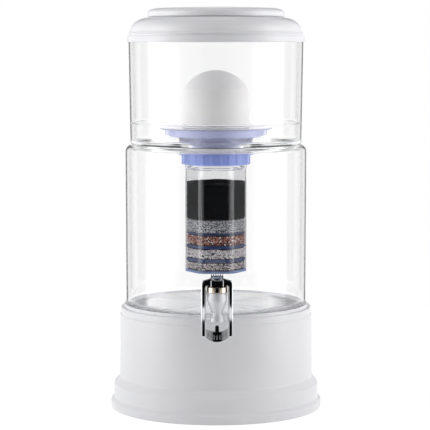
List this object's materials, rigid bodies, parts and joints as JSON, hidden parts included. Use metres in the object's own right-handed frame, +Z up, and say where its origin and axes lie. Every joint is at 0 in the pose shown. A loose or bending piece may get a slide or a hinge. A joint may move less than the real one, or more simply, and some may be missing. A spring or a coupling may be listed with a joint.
{
  "type": "gravity water filter with tap",
  "caption": "Countertop gravity water filter: clear tank with a ceramic dome and a hanging mineral cartridge, over a clear tank with a chromed push tap, on a white stand, under a white lid.",
  "frame": {"origin": "centre of the foot ring of the stand, on the table, on the axis of the tanks", "axes": "+Z up along the axis of the tanks; the tap faces -Y; +X is to the right seen from the tap's side"},
  "size_m": [0.2776, 0.3021, 0.525],
  "materials": {
    "white_shell": "moulded, semi-gloss",
    "lid_shell": "moulded, semi-gloss",
    "tank_glass": "clear, polished",
    "ceramic": "fired, unglazed",
    "dome_plastic": "moulded, satin",
    "nut_plastic": "moulded, satin",
    "seat_blue": "translucent tint, glossy",
    "lock_nut_lilac": "translucent tint, glossy",
    "cap_blue": "translucent tint, glossy",
    "clear_silicone": "translucent, satin",
    "housing_clear": "clear, glossy",
    "cartridge_plate": "moulded, glossy",
    "carbon": "granules",
    "zeolite": "fine granules",
    "red_mineral": "granules with pale chips",
    "ceramic_balls": "small balls",
    "pale_stone": "small stones",
    "felt": "needled pad",
    "chrome": "polished plating",
    "nickel": "nickel-plated, polished",
    "nut_white": "moulded",
    "steel": "turned",
    "black_rubber": "moulded, matt"
  },
  "bodies": {
    "stand": {"base": "white_shell"},
    "lower_tank": {"lower_tank": "tank_glass", "tap_body": "chrome", "tap_bonnet": "nickel", "tap_outer_washer": "black_rubber", "tap_inner_washer": "black_rubber", "tap_nut": "nut_white"},
    "upper_tank": {"upper_tank": "tank_glass", "filter_seat": "seat_blue", "seat_gasket": "clear_silicone", "lock_nut": "lock_nut_lilac", "dome_ceramic": "ceramic", "dome_base": "dome_plastic", "dome_washer": "black_rubber", "dome_nut": "nut_plastic"},
    "lid": {"lid": "lid_shell"},
    "cap_seal": {"cap_seal": "clear_silicone"},
    "cartridge": {"cartridge_cap": "cap_blue", "cartridge_housing": "housing_clear", "carbon_bed": "carbon", "zeolite_bed": "zeolite", "felt_upper": "felt", "mineral_bed": "red_mineral", "felt_middle": "felt", "ball_bed": "ceramic_balls", "felt_lower": "felt", "stone_bed": "pale_stone", "cartridge_base": "cartridge_plate"},
    "tap_stem": {"tap_stem": "steel", "tap_valve_seal": "black_rubber", "tap_spring": "steel"},
    "tap_lever": {"tap_lever": "chrome", "tap_lever_pin": "steel"}
  },
  "joints": [
    {"name": "lower_lift", "type": "slide", "parent": "stand", "child": "lower_tank", "axis": [0, 0, 1], "range_m": [0, 0.04]},
    {"name": "upper_lift", "type": "slide", "parent": "lower_tank", "child": "upper_tank", "axis": [0, 0, 1], "range_m": [0, 0.18]},
    {"name": "lid_lift", "type": "slide", "parent": "upper_tank", "child": "lid", "axis": [0, 0, 1], "range_m": [0, 0.06]},
    {"name": "cartridge_lower", "type": "slide", "parent": "upper_tank", "child": "cap_seal", "axis": [0, 0, 1], "range_m": [-0.00605, 0]},
    {"name": "cartridge_turn", "type": "hinge", "parent": "cap_seal", "child": "cartridge", "pos_m": [0, 0, 0.33], "axis": [0, 0, 1], "range_deg": [-540, 0]},
    {"name": "stem_lift", "type": "slide", "parent": "lower_tank", "child": "tap_stem", "axis": [0, 0, 1], "range_m": [0, 0.0019], "stiffness_N_per_m": 200, "springref_m": -0.002, "deforming": ["tap_spring"]},
    {"name": "lever_tilt", "type": "hinge", "parent": "tap_stem", "child": "tap_lever", "pos_m": [0, -0.15049, 0.181], "axis": [1, 0, 0], "range_deg": [0, 13]}
  ],
  "couplings": [
    {"joint": "cartridge_lower", "follows": "cartridge_turn", "m_per_rad": 0.00063662},
    {"joint": "stem_lift", "follows": "lever_tilt", "m_per_rad": 0.008}
  ]
}
